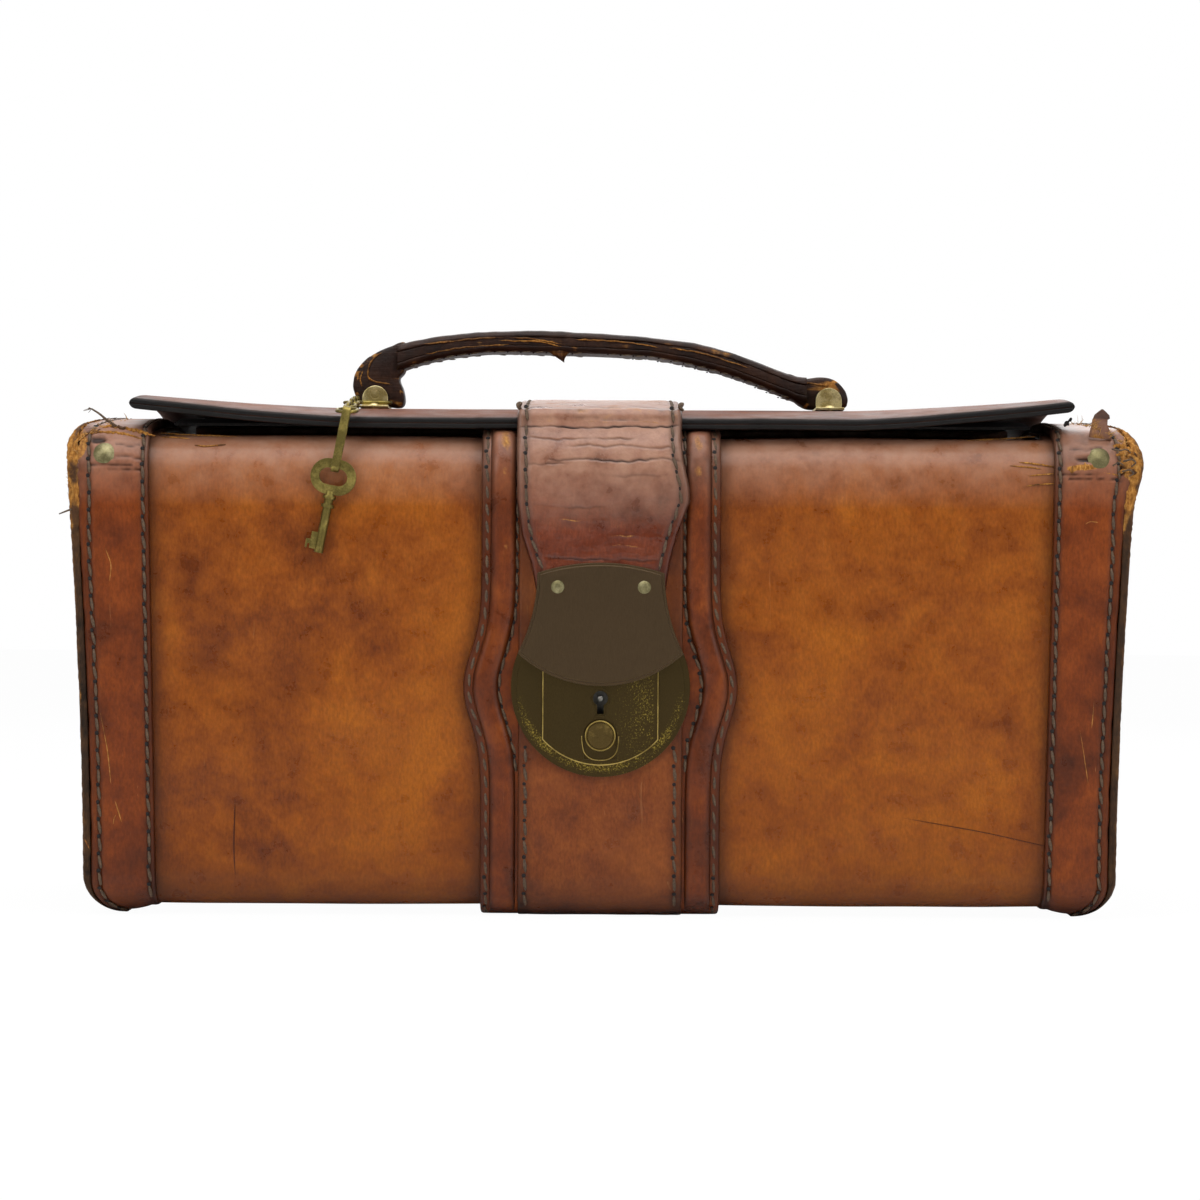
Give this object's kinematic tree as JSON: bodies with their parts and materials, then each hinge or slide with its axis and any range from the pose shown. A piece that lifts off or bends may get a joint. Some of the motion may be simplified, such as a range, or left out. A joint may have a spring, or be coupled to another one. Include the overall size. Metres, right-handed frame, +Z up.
{
  "type": "vanity case",
  "caption": "Old leather vanity case with a rounded foot, a flap lid hinged at the back, a strap with hasp and round lock in front, a stacked leather handle and a hanging key.",
  "frame": {"origin": "centre of the foot, on the surface that the case stands on", "axes": "+X along the case to the right as seen from the front, -Y towards the front with the lock, +Z up"},
  "size_m": [0.3436, 0.1472, 0.1921],
  "materials": {
    "hide": "worn vegetable-tanned hide, semi-gloss",
    "band_leather": "worn strap leather, semi-gloss",
    "welt_leather": "padded edge leather, dark, semi-gloss",
    "raw_edge": "raw cut leather, matt",
    "lid_leather": "stiff leather with blacked edges",
    "handle_leather": "stacked dark leather, rubbed",
    "board": "pulp board, matt",
    "linen": "linen lining and waxed thread",
    "dark_bronze": "patinated bronze, brushed",
    "aged_brass": "aged brass, dull",
    "lock_steel": "plain steel, dull"
  },
  "bodies": {
    "case": {"wrap_leather": "hide", "left_end_leather": "hide", "right_end_leather": "hide", "front_board": "board", "back_board": "board", "base_board": "board", "left_end_board": "board", "right_end_board": "board", "left_mouth_rail": "board", "right_mouth_rail": "board", "body_lining": "linen", "left_edge_band": "band_leather", "right_edge_band": "band_leather", "left_edge_binding": "raw_edge", "right_edge_binding": "raw_edge", "centre_band": "band_leather", "centre_welt": "welt_leather", "centre_strip": "band_leather", "corner_rivets": "aged_brass", "lock_plate": "dark_bronze", "lock_cover": "dark_bronze", "lock_case": "lock_steel", "lock_back_plate": "lock_steel", "lock_rivets": "lock_steel", "key_post": "lock_steel", "catch_spring": "lock_steel", "hinge_leather_lower": "band_leather"},
    "button": {"release_button": "dark_bronze", "catch_slide": "lock_steel"},
    "bolt": {"lock_bolt": "lock_steel"},
    "lid": {"lid_leather": "lid_leather", "lid_lining": "linen", "hinge_leather_upper": "band_leather", "strap_root": "band_leather", "strap_fold": "band_leather", "left_handle_bracket": "aged_brass", "right_handle_bracket": "aged_brass", "left_handle_pin": "aged_brass", "right_handle_pin": "aged_brass", "bracket_rivets": "aged_brass", "key_ring": "aged_brass", "key_chain": "aged_brass"},
    "strap": {"strap_leather": "band_leather", "hasp_plate": "dark_bronze", "hasp_rivets": "aged_brass", "hasp_staple": "dark_bronze"},
    "handle": {"handle_top_leather": "handle_leather", "handle_core": "handle_leather", "handle_bottom_leather": "handle_leather", "left_handle_loop": "handle_leather", "right_handle_loop": "handle_leather"},
    "link": {"key_link": "aged_brass"},
    "key": {"key": "aged_brass"}
  },
  "joints": [
    {"name": "lid_hinge", "type": "hinge", "parent": "case", "child": "lid", "pos_m": [0, 0.06487, 0.15265], "axis": [-1, 0, 0], "range_deg": [0, 115]},
    {"name": "strap_hinge", "type": "hinge", "parent": "lid", "child": "strap", "pos_m": [0, -0.0654, 0.1598], "axis": [-1, 0, 0], "range_deg": [0, 85], "deforming": ["strap_fold"]},
    {"name": "button_press", "type": "slide", "parent": "case", "child": "button", "axis": [0, 0, -1], "range_m": [0, 0.0024], "stiffness_N_per_m": 300, "springref_m": -0.003, "deforming": ["catch_spring"]},
    {"name": "bolt_slide", "type": "slide", "parent": "case", "child": "bolt", "axis": [-1, 0, 0], "range_m": [0, 0.0036]},
    {"name": "handle_lift", "type": "slide", "parent": "lid", "child": "handle", "axis": [0, 0, 1], "range_m": [0, 0.001]},
    {"name": "link_swing", "type": "hinge", "parent": "lid", "child": "link", "pos_m": [-0.0818, -0.0695, 0.16124], "axis": [-1, 0, 0], "range_deg": [0, 70]},
    {"name": "key_swing", "type": "hinge", "parent": "link", "child": "key", "pos_m": [-0.08538, -0.0695, 0.14281], "axis": [0, 1, 0], "range_deg": [-12, 12]}
  ]
}
